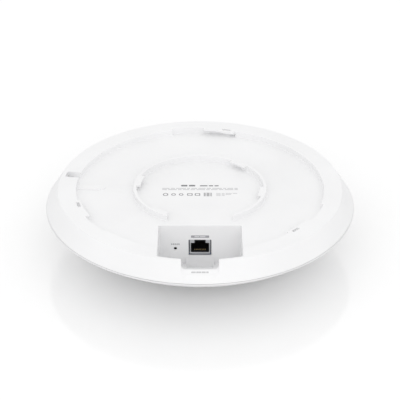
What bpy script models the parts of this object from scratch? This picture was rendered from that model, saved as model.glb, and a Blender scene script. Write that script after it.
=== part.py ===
"""Ceiling wireless access point, lying on its domed front with the mounting side up.

Metres, +Z up.  The origin is at the middle of the bounding box, on the surface the
dome rests on.  The cable port faces -Y.  Sizes below are in millimetres and are
turned into metres by the shape helpers.
"""
import math

import bmesh
import bpy

MM = 0.001
SEGMENTS = 80                 # sides of the large round shells
GAP = 0.3                     # clearance between touching pieces
STEP = 0.15                   # keeps two joined blocks from sharing a face

# ---- overall ----
HEIGHT = 48.0
RIM_R = 110.0                 # widest radius, on the front cover's rim
RIM_Z = 34.3
BACK_RING_R = 101.0           # outer edge of the flat ring on the back
RECESS_R = 88.2               # inner edge of that ring
RECESS_DEPTH = 4.47
RECESS_Z = HEIGHT - RECESS_DEPTH
WALL = 2.2
FLANK_SLOPE = (RIM_R - BACK_RING_R) / (HEIGHT - RIM_Z)      # radius gained per mm down
SHELL_EDGE_Z = 35.1           # lower edge of the back shell
COVER_EDGE_Z = SHELL_EDGE_Z - GAP

# ---- domed front ----
DOME_FLAT_R = 12.0            # flat middle that the unit can rest on
DOME_ARC_R = ((RIM_R - DOME_FLAT_R) ** 2 + RIM_Z ** 2) / (2.0 * RIM_Z)
COVER_WALL = 2.2
TONGUE_H = 2.0                # rim tongue that reaches into the back shell
LIGHT_R_IN, LIGHT_R_OUT = 33.0, 36.0
LIGHT_GROOVE_DEPTH = 0.5

# ---- bayonet mount in the back ring ----
TAB_STARTS = (73.0, 193.0, 313.0)      # azimuths where the three tabs begin
TAB_SPAN = 15.2
CUTOUT_SPAN = 15.4
TAB_R = 86.5
CUTOUT_R = 90.2
TAB_THIN, TAB_THICK = 1.0, 2.2
TAB_TOP = HEIGHT - 0.05       # a hair under the ring, so the faces don't coincide
SLOT_R_IN, SLOT_R_OUT = 87.8, 90.0
SLOT_START, SLOT_SPAN = 2.0, 4.2
NOTCH_AZ, NOTCH_W, NOTCH_R = 169.6, 7.7, 98.0
NOTCH_DEEP_R, NOTCH_DEPTH = 93.5, 4.5
NOTCH_MOUTH_R = 84.0          # inside the recess, where the notch cut starts
NOTCH_BOSS_R, NOTCH_BOSS_L, NOTCH_BOSS_SIDE = 95.6, 8.8, 2.0
RIB_AZ, RIB_W, RIB_R = 176.0, 6.3, 68.0
RIB_H = 1.0

# ---- broken ring in the recess ----
RING_R_OUT, RING_R_IN = 47.5, 45.3
RING_GAP_X = 22.7
RING_TAB_R = 42.5
RING_TAB_THICK = 1.6
RING_TABS = ((42.0, 59.0), (160.0, 178.0), (221.0, 239.0), (343.0, 359.0))

# ---- cable port ----
PORT_X = 28.7
PORT_Y = -47.6                # jack wall
PORT_R = 98.8                 # outer wall of the recess, an arc
PORT_WALL = 2.0
PORT_FLOOR_Z = 12.7           # floor at the jack wall
PORT_FLOOR_RISE = 0.42        # floor climbs outward to clear the dome
CHANNEL_X = 12.5              # half width of the cable notch
CHANNEL_R = 101.2
CHANNEL_WALL = 1.6
CHANNEL_Z = 42.2
CHANNEL_CORNER = 2.3
LIP_X = 12.7
LIP_TOP_Z, LIP_LOW_Z = 42.3, 40.3
LIP_TOP_Y, LIP_LOW_Y = -102.9, -105.65
LIP_CORNER = 3.0
NOTCH_CUT_Y = -96.0           # where the cable notch starts, inside the port
OUTSIDE_Y = -RIM_R - 5.0
APRON_X = 9.6                 # sloped apron under the jack
APRON_TOP_Z = 19.0
APRON_FOOT_Y = -51.35
APRON_FOOT_Z = 9.4
PORT_SIDE_Y = -86.0           # inside the back ring, where the port walls rise to its top
SUMP_X, SUMP_DROP, SUMP_Y = 9.45, 3.9, -65.0      # pit that the apron runs down into
SUMP_WALL = 1.5

# ---- network jack ----
OPENING_X = 7.9
OPENING_LOW, OPENING_HIGH = 19.5, 32.1
OPENING_RIM = 0.5             # the wall is this thin round the opening and the pinhole
RELIEF_SIDE, RELIEF_LOW = 0.8, 0.35
JACK_X = 7.2
JACK_LOW, JACK_HIGH = 20.5, 31.8
JACK_FRONT, JACK_BACK = -47.2, -29.2
SOCKET_X = 6.4                # window in the metal face
SOCKET_LOW, SOCKET_HIGH = 21.8, 29.3
LATCH_X = 3.9
SHIELD_T = 0.4
CAVITY_X, CAVITY_LOW, CAVITY_BACK = 5.95, 22.2, -34.0
CONTACT_PITCH = 1.02
CONTACT_W = 0.45
CONTACTS = 8

# ---- reset switch ----
RESET_X, RESET_Z = -17.1, 25.1
PINHOLE_R = 1.1
BUTTON_R = 1.5
BUTTON_FRONT, BUTTON_BACK = -45.0, -40.9
SWITCH_FRONT, SWITCH_BACK = -42.5, -37.0
SWITCH_BORE_R, SWITCH_BORE_BACK = 1.85, -40.1
SWITCH_HALF_W = 3.2

# ---- stack of boards and plates ----
BOARD_R = 74.0
BOARD_LOW, BOARD_TOP = 18.6, 20.2
BOARD_CUT_X, BOARD_CUT_Y = 31.5, -45.2
SPREADER_R = 80.0
SPREADER_LOW, SPREADER_TOP = 26.6, 29.6
SPREADER_CUT_X, SPREADER_CUT_Y = 22.0, -27.5
FIN_Y = (-12.0, 0.0, 12.0, 24.0)
FIN_HALF_L, FIN_T, FIN_TOP = 56.0, 1.6, 36.0
SHELL_SCREW_R, SHELL_SCREW_AZ = 60.0, (45.0, 135.0, 225.0, 315.0)
BOARD_SCREW_R, BOARD_SCREW_AZ = 69.0, (20.0, 160.0, 225.0, 315.0)
BOSS_R, BOSS_LOW, BOSS_BORE_TOP = 4.0, 29.9, 38.2
SHELL_SCREW_TIP, BOARD_SCREW_TIP = 37.6, 27.4
STANDOFF_R = 3.4
SCREW_HOLE_R = 1.65
SHANK_R, HEAD_R, HEAD_H = 1.3, 2.8, 1.4
ANTENNA_R = 60.0
LARGE_ANTENNAS = (-22.0, 22.0, 158.0, 202.0)
SMALL_ANTENNAS = (0.0, 70.0, 110.0, 180.0)
LED_R = 34.5
CAN_TOP = 25.0
CAPACITOR_R, CAPACITOR_TOP = 4.0, 26.1
GUIDE_R_IN, GUIDE_R_OUT = 33.3, 35.7
FLANGE_R_IN, FLANGE_R_OUT, FLANGE_LOW, FLANGE_TOP = 31.8, 37.2, 15.4, 17.0


# =============================== helpers ===============================

def clear_scene():
    for obj in list(bpy.data.objects):
        bpy.data.objects.remove(obj, do_unlink=True)


def material(name, colour, roughness, metallic=0.0):
    mat = bpy.data.materials.new(name)
    mat.use_nodes = True
    shader = mat.node_tree.nodes["Principled BSDF"]
    shader.inputs["Base Color"].default_value = (*colour, 1.0)
    shader.inputs["Roughness"].default_value = roughness
    shader.inputs["Metallic"].default_value = metallic
    return mat


WHITE = (0.90, 0.90, 0.90)
STEEL = (0.62, 0.62, 0.60)
ALUMINIUM = (0.72, 0.73, 0.74)
BLACK = (0.02, 0.02, 0.02)
GOLD = (0.83, 0.62, 0.25)
BOARD_BLUE = (0.02, 0.05, 0.16)
PAD_GREY = (0.45, 0.47, 0.50)


def make_object(name, bm, colour=None, roughness=0.5, metallic=0.0, cutter=False):
    """Finish a bmesh as an object: metres, faces out, round parts smooth."""
    bmesh.ops.scale(bm, vec=(MM, MM, MM), verts=bm.verts)
    bmesh.ops.recalc_face_normals(bm, faces=bm.faces)
    mesh = bpy.data.meshes.new(name)
    bm.to_mesh(mesh)
    bm.free()
    mesh.shade_smooth()
    mesh.set_sharp_from_angle(angle=math.radians(35.0))
    obj = bpy.data.objects.new(name, mesh)
    bpy.context.scene.collection.objects.link(obj)
    if cutter:
        obj.hide_render = True
        obj.display_type = "WIRE"
    else:
        mesh.materials.append(material(name, colour, roughness, metallic))
    return obj


def boolean(obj, tool, operation):
    mod = obj.modifiers.new(tool.name, "BOOLEAN")
    mod.operation = operation
    mod.object = tool


def cut(obj, name, bm):
    boolean(obj, make_object(name, bm, cutter=True), "DIFFERENCE")


def add(obj, name, bm):
    boolean(obj, make_object(name, bm, cutter=True), "UNION")


def polar(radius, azimuth):
    angle = math.radians(azimuth)
    return radius * math.cos(angle), radius * math.sin(angle)


def arc_points(radius, start, end, steps, centre=(0.0, 0.0)):
    """Points on an arc, azimuths in degrees, both ends included."""
    points = []
    for i in range(steps + 1):
        x, y = polar(radius, start + (end - start) * i / steps)
        points.append((centre[0] + x, centre[1] + y))
    return points


def lathe(profile, segments=SEGMENTS, centre=(0.0, 0.0)):
    """Turn a closed (radius, z) profile round a vertical axis."""
    bm = bmesh.new()
    rings = []
    for radius, z in profile:
        if radius == 0.0:
            rings.append([bm.verts.new((centre[0], centre[1], z))])
            continue
        circle = arc_points(radius, 0.0, 360.0, segments, centre)[:-1]
        rings.append([bm.verts.new((x, y, z)) for x, y in circle])
    for k in range(len(rings)):
        first, second = rings[k], rings[(k + 1) % len(rings)]
        if len(first) == 1 and len(second) == 1:
            continue
        for i in range(segments):
            j = (i + 1) % segments
            corners = [first[i % len(first)], first[j % len(first)],
                       second[j % len(second)], second[i % len(second)]]
            bm.faces.new(list(dict.fromkeys(corners)))
    return bm


def loft(low, high):
    """Closed prism between two matching outlines of 3-D points."""
    bm = bmesh.new()
    bottom = [bm.verts.new(p) for p in low]
    top = [bm.verts.new(p) for p in high]
    bm.faces.new(bottom)
    bm.faces.new(top)
    for i in range(len(low)):
        j = (i + 1) % len(low)
        bm.faces.new((bottom[i], bottom[j], top[j], top[i]))
    return bm


def prism(outline, low, high):
    """Extrude an (x, y) outline upward; low may be a function of y."""
    floor = low if callable(low) else (lambda y: low)
    return loft([(x, y, floor(y)) for x, y in outline], [(x, y, high) for x, y in outline])


def prism_along_x(outline, x0, x1):
    """Extrude a (y, z) outline along X."""
    return loft([(x0, y, z) for y, z in outline], [(x1, y, z) for y, z in outline])


def prism_along_y(outline, near, far):
    """Extrude an (x, z) outline along Y; near may be a function of z."""
    face = near if callable(near) else (lambda z: near)
    return loft([(x, face(z), z) for x, z in outline], [(x, far, z) for x, z in outline])


def rectangle(x0, x1, y0, y1):
    return [(x0, y0), (x1, y0), (x1, y1), (x0, y1)]


def box(x0, x1, y0, y1, z0, z1):
    return prism(rectangle(x0, x1, y0, y1), z0, z1)


def sector(r_in, r_out, start, end, low, high, step=4.5):
    """Block of a ring between two azimuths."""
    steps = max(1, round((end - start) / step))
    outline = arc_points(r_in, start, end, steps) + arc_points(r_out, end, start, steps)
    return prism(outline, low, high)


def rod_along_y(radius, y0, y1, x, z, segments=16):
    outline = arc_points(radius, 0.0, 360.0, segments, (x, z))[:-1]
    return prism_along_y(outline, y0, y1)


def turned_block(centre_r, azimuth, length, width, low, high):
    """Box whose length points outward at an azimuth."""
    middle = polar(centre_r, azimuth)
    out = polar(1.0, azimuth)
    side = (-out[1], out[0])
    outline = []
    for along, across in ((-1, -1), (1, -1), (1, 1), (-1, 1)):
        a, b = along * length / 2.0, across * width / 2.0
        outline.append((middle[0] + a * out[0] + b * side[0], middle[1] + a * out[1] + b * side[1]))
    return prism(outline, low, high)


def rounded_u(half_width, low, high, corner, steps=4):
    """Upright U outline in (x, z) with round lower corners."""
    right = arc_points(corner, 0.0, -90.0, steps, (half_width - corner, low + corner))
    left = arc_points(corner, -90.0, -180.0, steps, (corner - half_width, low + corner))
    return [(half_width, high)] + right + left + [(-half_width, high)]


def dome_z(radius, inset=0.0):
    """Height of the front cover's outer surface, or of one inset from it."""
    reach = max(0.0, radius - DOME_FLAT_R)
    return DOME_ARC_R - math.sqrt((DOME_ARC_R - inset) ** 2 - reach ** 2)


def flank_r(z):
    return BACK_RING_R + (HEIGHT - z) * FLANK_SLOPE


def port_floor(y):
    return PORT_FLOOR_Z + (PORT_Y - y) * PORT_FLOOR_RISE


def port_underside(y):
    return port_floor(y) - PORT_WALL


def sump_floor(y):
    return port_floor(y) - SUMP_DROP


def lip_face(z):
    share = (LIP_TOP_Z - z) / (LIP_TOP_Z - LIP_LOW_Z)
    return LIP_TOP_Y + (LIP_LOW_Y - LIP_TOP_Y) * share


def port_outline(half_x, wall_y, radius):
    """Plan of the cable recess: straight jack wall, arc on the far side."""
    edge = math.degrees(math.acos(half_x / radius))
    far = arc_points(radius, -edge, edge - 180.0, 9)
    return [(half_x, wall_y)] + far + [(-half_x, wall_y)]


# =============================== housing ===============================

def back_shell_blank():
    """Turned shell: recess plate, raised back ring and sloping flank."""
    wall_h = WALL * math.sqrt(1.0 + FLANK_SLOPE ** 2)
    profile = [
        (0.0, RECESS_Z), (RECESS_R, RECESS_Z), (RECESS_R, HEIGHT), (BACK_RING_R, HEIGHT),
        (flank_r(SHELL_EDGE_Z), SHELL_EDGE_Z), (flank_r(SHELL_EDGE_Z) - wall_h, SHELL_EDGE_Z),
        (flank_r(HEIGHT - WALL) - wall_h, HEIGHT - WALL), (RECESS_R + 4.4, HEIGHT - WALL),
        (RECESS_R + 4.4, RECESS_Z - WALL), (0.0, RECESS_Z - WALL)]
    return make_object("back_shell", lathe(profile), WHITE, 0.42)


def add_port_recess(shell):
    """Thin-walled pocket for the jack, open to the back and out through the flank."""
    half, wall_y, radius = PORT_X + PORT_WALL, PORT_Y + PORT_WALL, PORT_R + PORT_WALL
    add(shell, "port_outer", prism(port_outline(half, wall_y, radius), port_underside, RECESS_Z - 0.5))
    add(shell, "port_ring_part",
        prism(port_outline(half + STEP, PORT_SIDE_Y, radius + STEP), RECESS_Z - 4.0, HEIGHT - 1.0))
    nose = port_outline(CHANNEL_X + PORT_WALL, PORT_Y - 21.0, CHANNEL_R + CHANNEL_WALL)
    add(shell, "port_nose", prism(nose, lambda y: port_underside(y) + STEP, CHANNEL_Z - 0.5))
    sump_x, sump_y = SUMP_X + SUMP_WALL, SUMP_Y - SUMP_WALL
    add(shell, "sump_outer", prism(rectangle(-sump_x, sump_x, sump_y, wall_y - 2 * STEP),
                                   lambda y: sump_floor(y) - SUMP_WALL, APRON_TOP_Z))
    cut(shell, "port_inner", prism(port_outline(PORT_X, PORT_Y, PORT_R), port_floor, HEIGHT + 5.0))
    channel = port_outline(CHANNEL_X, PORT_Y - 20.0, CHANNEL_R)
    cut(shell, "channel_inner", prism(channel, lambda y: port_floor(y) + STEP, HEIGHT + 4.0))
    cut(shell, "sump_inner",
        prism(rectangle(-SUMP_X, SUMP_X, SUMP_Y, PORT_Y - STEP), sump_floor, APRON_TOP_Z))
    root_y, root_z = PORT_Y + 1.2, sump_floor(PORT_Y) - 0.6
    apron = [(root_y, APRON_TOP_Z), (PORT_Y, APRON_TOP_Z), (APRON_FOOT_Y, APRON_FOOT_Z),
             (APRON_FOOT_Y, root_z), (root_y, root_z)]
    add(shell, "apron", prism_along_x(apron, -APRON_X, APRON_X))


def cut_cable_notch(shell):
    notch = rounded_u(CHANNEL_X, CHANNEL_Z, HEIGHT + 5.0, CHANNEL_CORNER)
    cut(shell, "cable_notch", prism_along_y(notch, NOTCH_CUT_Y, OUTSIDE_Y))
    lip = rounded_u(LIP_X, LIP_LOW_Z, HEIGHT + 4.0, LIP_CORNER)
    cut(shell, "cable_lip", prism_along_y(lip, lip_face, OUTSIDE_Y))


def cut_jack_wall(shell):
    through = (PORT_Y - 3.0, PORT_Y + PORT_WALL + 1.5)
    relief = (PORT_Y + OPENING_RIM, PORT_Y + PORT_WALL + 2.0)
    cut(shell, "jack_opening",
        box(-OPENING_X, OPENING_X, *through, OPENING_LOW, OPENING_HIGH))
    side = OPENING_X + RELIEF_SIDE
    cut(shell, "opening_relief",
        box(-side, side, *relief, OPENING_LOW - RELIEF_LOW, OPENING_HIGH + RELIEF_SIDE))
    cut(shell, "pinhole", rod_along_y(PINHOLE_R, *through, RESET_X, RESET_Z))
    cut(shell, "pinhole_relief", rod_along_y(PINHOLE_R + RELIEF_SIDE, *relief, RESET_X, RESET_Z))


def tab_underside(azimuth, start):
    """Bayonet tabs are thick at the stop end and thin where the bracket enters."""
    share = min(1.0, max(0.0, (azimuth - start - 4.0) / 6.0))
    return HEIGHT - TAB_THICK + (TAB_THICK - TAB_THIN) * share


def bayonet_tab(start):
    """Tab with a ramped underside, flush with the back ring."""
    steps = 6
    azimuths = [start + TAB_SPAN * i / steps for i in range(steps + 1)]
    bm = bmesh.new()
    rings = []
    for azimuth in azimuths:
        low = tab_underside(azimuth, start)
        inner, outer = polar(TAB_R, azimuth), polar(CUTOUT_R + 1.5, azimuth)
        corners = [(*inner, low), (*outer, low), (*outer, TAB_TOP), (*inner, TAB_TOP)]
        rings.append([bm.verts.new(c) for c in corners])
    bm.faces.new(rings[0])
    bm.faces.new(rings[-1])
    for first, second in zip(rings, rings[1:]):
        for i in range(4):
            j = (i + 1) % 4
            bm.faces.new((first[i], first[j], second[j], second[i]))
    return bm


def add_bayonet(shell):
    for number, start in enumerate(TAB_STARTS, 1):
        end = start + TAB_SPAN + CUTOUT_SPAN
        cut(shell, f"bayonet_track_{number}",
            sector(80.0, CUTOUT_R, start - 0.6, end, RECESS_Z, HEIGHT + 5.0))
        add(shell, f"bayonet_tab_{number}", bayonet_tab(start))
        first = start + SLOT_START
        cut(shell, f"bayonet_slot_{number}",
            sector(SLOT_R_IN, SLOT_R_OUT, first, first + SLOT_SPAN, RECESS_Z + 0.5, HEIGHT + 5.0))


def add_lock_notch(shell):
    """Pocket in the back ring that the bracket's lock falls into, and its guide rib."""
    add(shell, "notch_boss",
        turned_block(NOTCH_BOSS_R, NOTCH_AZ, NOTCH_BOSS_L, NOTCH_W + 2.0 * NOTCH_BOSS_SIDE,
                     RECESS_Z - NOTCH_DEPTH - WALL, HEIGHT - 1.0))
    length = NOTCH_R - NOTCH_MOUTH_R
    cut(shell, "notch",
        turned_block(NOTCH_R - length / 2.0, NOTCH_AZ, length, NOTCH_W, RECESS_Z, HEIGHT + 5.0))
    length = NOTCH_R - NOTCH_DEEP_R
    cut(shell, "notch_deep",
        turned_block(NOTCH_R - length / 2.0, NOTCH_AZ, length, NOTCH_W,
                     RECESS_Z - NOTCH_DEPTH, HEIGHT + 4.0))
    out = polar(1.0, RIB_AZ)
    side = (-out[1] * RIB_W / 2.0, out[0] * RIB_W / 2.0)
    outline = []
    for radius, across in ((RIB_R, 0.3), (RIB_R + 2.5, 1.0), (RECESS_R + 1.0, 1.0),
                           (RECESS_R + 1.0, -1.0), (RIB_R + 2.5, -1.0), (RIB_R, -0.3)):
        outline.append((radius * out[0] + across * side[0], radius * out[1] + across * side[1]))
    add(shell, "guide_rib", prism(outline, RECESS_Z - 0.6, RECESS_Z + RIB_H))


def add_inner_ring(shell):
    """Broken ring in the recess with four inward tabs."""
    profile = [(RING_R_IN, RECESS_Z - 0.6), (RING_R_OUT, RECESS_Z - 0.6),
               (RING_R_OUT, HEIGHT), (RING_R_IN, HEIGHT)]
    ring = make_object("inner_ring", lathe(profile, 64), cutter=True)
    opening = make_object("ring_opening", box(-RING_GAP_X, RING_GAP_X, -60.0, 0.0, 0.0, 60.0),
                          cutter=True)
    boolean(ring, opening, "DIFFERENCE")
    boolean(shell, ring, "UNION")
    for number, (start, end) in enumerate(RING_TABS, 1):
        add(shell, f"ring_tab_{number}",
            sector(RING_TAB_R, RING_R_IN + 0.9, start, end, HEIGHT - RING_TAB_THICK, HEIGHT - 0.1))


def add_screw_bosses(shell):
    for number, azimuth in enumerate(SHELL_SCREW_AZ, 1):
        centre = polar(SHELL_SCREW_R, azimuth)
        post = [(0.0, BOSS_LOW), (BOSS_R, BOSS_LOW), (BOSS_R, RECESS_Z - 1.0), (0.0, RECESS_Z - 1.0)]
        add(shell, f"boss_{number}", lathe(post, 16, centre))
        bore = [(0.0, BOSS_LOW - 1.0), (SCREW_HOLE_R, BOSS_LOW - 1.0),
                (SCREW_HOLE_R, BOSS_BORE_TOP), (0.0, BOSS_BORE_TOP)]
        cut(shell, f"boss_bore_{number}", lathe(bore, 12, centre))


def make_back_shell():
    shell = back_shell_blank()
    add_port_recess(shell)
    cut_cable_notch(shell)
    cut_jack_wall(shell)
    add_bayonet(shell)
    add_lock_notch(shell)
    add_inner_ring(shell)
    add_screw_bosses(shell)
    return shell


def make_front_cover():
    """Domed radome, thinned to a ring where the status light shines through."""
    outer = [(0.0, 0.0), (DOME_FLAT_R, 0.0), (23.0, dome_z(23.0))]
    for radius, depth in ((LIGHT_R_IN, 0.0), (LIGHT_R_IN, LIGHT_GROOVE_DEPTH),
                          (LIGHT_R_OUT, LIGHT_GROOVE_DEPTH), (LIGHT_R_OUT, 0.0)):
        outer.append((radius, dome_z(radius) + depth))
    for radius in (48.0, 60.0, 71.0, 81.0, 90.0, 98.0, 104.5):
        outer.append((radius, dome_z(radius)))
    outer += [(RIM_R, RIM_Z), (flank_r(COVER_EDGE_Z), COVER_EDGE_Z)]
    tongue_r = flank_r(COVER_EDGE_Z) - WALL * math.sqrt(1.0 + FLANK_SLOPE ** 2) - GAP
    lean = TONGUE_H * FLANK_SLOPE
    tongue = [(tongue_r, COVER_EDGE_Z), (tongue_r - lean, COVER_EDGE_Z + TONGUE_H),
              (tongue_r - 1.3 - lean, COVER_EDGE_Z + TONGUE_H), (tongue_r - 1.6, COVER_EDGE_Z - 1.5)]
    inner = []
    for radius in (103.5, 97.0, 89.0, 80.0, 70.0, 58.0, 45.0, 28.0, DOME_FLAT_R, 0.0):
        inner.append((radius, dome_z(radius, COVER_WALL)))
    return make_object("front_cover", lathe(outer + tongue + inner), WHITE, 0.40)


def make_light_guide():
    """Clear ring that carries the light of the four diodes to the dome."""
    low = dome_z(GUIDE_R_OUT, COVER_WALL) + GAP
    profile = [(GUIDE_R_IN, low), (GUIDE_R_OUT, low), (GUIDE_R_OUT, FLANGE_LOW), (FLANGE_R_OUT, FLANGE_LOW),
               (FLANGE_R_OUT, FLANGE_TOP), (FLANGE_R_IN, FLANGE_TOP), (FLANGE_R_IN, FLANGE_LOW),
               (GUIDE_R_IN, FLANGE_LOW)]
    return make_object("light_guide", lathe(profile, 48), (0.85, 0.88, 0.90), 0.25)


# ========================= boards, plates and chips =========================

def screw_hole_cutters(obj, label, radius, azimuths, low, high):
    for number, azimuth in enumerate(azimuths, 1):
        profile = [(0.0, low), (SCREW_HOLE_R, low), (SCREW_HOLE_R, high), (0.0, high)]
        cut(obj, f"{label}_{number}", lathe(profile, 12, polar(radius, azimuth)))


def disc_outline(radius, half_x, wall_y):
    """Disc with a rectangular bite out of its -Y side."""
    corner = math.degrees(math.asin(half_x / radius))
    rim = arc_points(radius, -90.0 + corner, 270.0 - corner, 56)
    return rim + [(-half_x, wall_y), (half_x, wall_y)]


def make_main_board():
    outline = disc_outline(BOARD_R, BOARD_CUT_X, BOARD_CUT_Y)
    board = make_object("main_board", prism(outline, BOARD_LOW, BOARD_TOP), BOARD_BLUE, 0.45)
    screw_hole_cutters(board, "board_hole_a", SHELL_SCREW_R, SHELL_SCREW_AZ, 10.0, 24.0)
    screw_hole_cutters(board, "board_hole_b", BOARD_SCREW_R, BOARD_SCREW_AZ, 10.0, 24.0)
    return board


def make_heat_spreader():
    """Cast plate over the shield cans, with fins and screw standoffs."""
    rim = disc_outline(SPREADER_R, BOARD_CUT_X, BOARD_CUT_Y)[:-2]
    outline = rim + [(-BOARD_CUT_X, BOARD_CUT_Y), (-SPREADER_CUT_X, BOARD_CUT_Y),
                     (-SPREADER_CUT_X, SPREADER_CUT_Y), (SPREADER_CUT_X, SPREADER_CUT_Y),
                     (SPREADER_CUT_X, BOARD_CUT_Y), (BOARD_CUT_X, BOARD_CUT_Y)]
    plate = make_object("heat_spreader", prism(outline, SPREADER_LOW, SPREADER_TOP),
                        ALUMINIUM, 0.45, 1.0)
    for number, y in enumerate(FIN_Y, 1):
        add(plate, f"fin_{number}",
            box(-FIN_HALF_L, FIN_HALF_L, y - FIN_T / 2, y + FIN_T / 2, SPREADER_TOP - 0.5, FIN_TOP))
    low, high = BOARD_TOP + GAP, SPREADER_LOW + 0.6
    places = [(SHELL_SCREW_R, a) for a in SHELL_SCREW_AZ] + [(BOARD_SCREW_R, a) for a in BOARD_SCREW_AZ]
    for number, (radius, azimuth) in enumerate(places, 1):
        post = [(0.0, low), (STANDOFF_R, low), (STANDOFF_R, high), (0.0, high)]
        add(plate, f"standoff_{number}", lathe(post, 14, polar(radius, azimuth)))
    screw_hole_cutters(plate, "plate_hole_a", SHELL_SCREW_R, SHELL_SCREW_AZ, 15.0, 32.0)
    screw_hole_cutters(plate, "plate_hole_b", BOARD_SCREW_R, BOARD_SCREW_AZ, 15.0, 28.0)
    return plate


def shield_can(name, x, y, half_x, half_y):
    """Folded metal can, open toward the board."""
    low, high, t = BOARD_TOP + GAP, CAN_TOP, 0.5
    can = make_object(name, box(x - half_x, x + half_x, y - half_y, y + half_y, low, high), STEEL, 0.3, 1.0)
    cut(can, name + "_inside",
        box(x - half_x + t, x + half_x - t, y - half_y + t, y + half_y - t, low - 1.0, high - t))


def block(name, x, y, half_x, half_y, height, colour, roughness=0.5, metallic=0.0, low=BOARD_TOP + GAP):
    make_object(name, box(x - half_x, x + half_x, y - half_y, y + half_y, low, low + height),
                colour, roughness, metallic)


def make_chips_and_cans():
    pad_low = CAN_TOP + GAP
    sites = (("cpu", 0.0, 8.0, 15.0, 15.0), ("radio_left", -38.0, 8.0, 13.0, 15.0),
             ("radio_right", 38.0, 8.0, 13.0, 15.0))
    for label, x, y, half_x, half_y in sites:
        shield_can(f"{label}_shield_can", x, y, half_x, half_y)
        block(f"{label}_chip", x, y, half_x * 0.5, half_x * 0.5, 2.0, BLACK, 0.4)
        block(f"{label}_thermal_pad", x, y, half_x * 0.8, half_y * 0.8, 1.0, PAD_GREY, 0.8, low=pad_low)


def make_power_parts():
    block("ethernet_transformer", 0.0, -19.0, 8.0, 6.0, 5.4, BLACK, 0.4)
    block("poe_transformer", 30.0, -22.0, 8.0, 7.0, 5.6, (0.35, 0.30, 0.12), 0.5)
    block("power_inductor", 50.0, -22.0, 5.0, 5.0, 5.2, (0.20, 0.20, 0.21), 0.6)
    for number, x in enumerate((-29.0, -41.0), 1):
        low = BOARD_TOP + GAP
        profile = [(0.0, low), (CAPACITOR_R, low), (CAPACITOR_R, CAPACITOR_TOP), (0.0, CAPACITOR_TOP)]
        make_object(f"bulk_capacitor_{number}", lathe(profile, 20, (x, -22.0)), ALUMINIUM, 0.35, 1.0)


def make_status_leds():
    for number in range(4):
        x, y = polar(LED_R, 45.0 + 90.0 * number)
        high = BOARD_LOW - GAP
        block(f"status_led_{number + 1}", x, y, 1.2, 1.2, 0.9, (0.9, 0.9, 0.75), 0.3, low=high - 0.9)


def make_antenna(name, azimuth, width, drop):
    """Stamped inverted-F antenna standing on the board's front side."""
    high, arm, leg = BOARD_LOW - GAP, 2.0, 1.6
    half, low = width / 2.0, BOARD_LOW - GAP - drop
    feed = -half + 4.6
    outline = [(-half, low), (half, low), (half, low + arm), (feed + leg, low + arm), (feed + leg, high),
               (feed, high), (feed, low + arm), (-half + leg, low + arm), (-half + leg, high), (-half, high)]
    out, side = polar(1.0, azimuth), polar(1.0, azimuth + 90.0)
    faces = []
    for radius in (ANTENNA_R, ANTENNA_R + 0.5):
        faces.append([(radius * out[0] + t * side[0], radius * out[1] + t * side[1], z) for t, z in outline])
    make_object(name, loft(*faces), STEEL, 0.3, 1.0)


def make_antennas():
    for number, azimuth in enumerate(LARGE_ANTENNAS, 1):
        make_antenna(f"antenna_low_band_{number}", azimuth, 22.0, 7.0)
    for number, azimuth in enumerate(SMALL_ANTENNAS, 1):
        make_antenna(f"antenna_high_band_{number}", azimuth, 12.0, 5.5)


def make_screw(name, radius, azimuth, tip_z):
    head_top = BOARD_LOW - GAP
    profile = [(0.0, head_top - HEAD_H), (HEAD_R, head_top - HEAD_H), (HEAD_R, head_top),
               (SHANK_R, head_top), (SHANK_R, tip_z), (0.0, tip_z)]
    make_object(name, lathe(profile, 12, polar(radius, azimuth)), STEEL, 0.3, 1.0)


def make_screws():
    for number, azimuth in enumerate(SHELL_SCREW_AZ, 1):
        make_screw(f"shell_screw_{number}", SHELL_SCREW_R, azimuth, SHELL_SCREW_TIP)
    for number, azimuth in enumerate(BOARD_SCREW_AZ, 1):
        make_screw(f"board_screw_{number}", BOARD_SCREW_R, azimuth, BOARD_SCREW_TIP)


# =========================== jack and reset switch ===========================

def make_jack_shield():
    """Metal sleeve with a keyed window in its face."""
    shield = make_object("jack_shield", box(-JACK_X, JACK_X, JACK_FRONT, JACK_BACK, JACK_LOW, JACK_HIGH),
                         STEEL, 0.3, 1.0)
    t = SHIELD_T
    cut(shield, "jack_inside", box(-JACK_X + t, JACK_X - t, JACK_FRONT + t, JACK_BACK - t,
                                   JACK_LOW + t, JACK_HIGH - t))
    cut(shield, "jack_window",
        box(-SOCKET_X, SOCKET_X, JACK_FRONT - 1.0, JACK_FRONT + t + 0.4, SOCKET_LOW, SOCKET_HIGH))
    cut(shield, "jack_latch_window",
        box(-LATCH_X, LATCH_X, JACK_FRONT - 1.0, JACK_FRONT + 2.2, SOCKET_HIGH - 0.5, JACK_HIGH + 1.0))


def make_jack_body():
    """Black insert with the plug cavity."""
    inset = SHIELD_T + GAP
    front = JACK_FRONT + inset
    body = make_object("jack_body",
                       box(-JACK_X + inset, JACK_X - inset, front, JACK_BACK - inset,
                           JACK_LOW + inset, JACK_HIGH - inset), BLACK, 0.5)
    cut(body, "plug_cavity",
        box(-CAVITY_X, CAVITY_X, front - 1.0, CAVITY_BACK, CAVITY_LOW, SOCKET_HIGH - 0.3))
    cut(body, "latch_channel",
        box(-3.3, 3.3, front - 1.0, CAVITY_BACK - 2.0, SOCKET_HIGH - 0.8, JACK_HIGH - 1.1))


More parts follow.
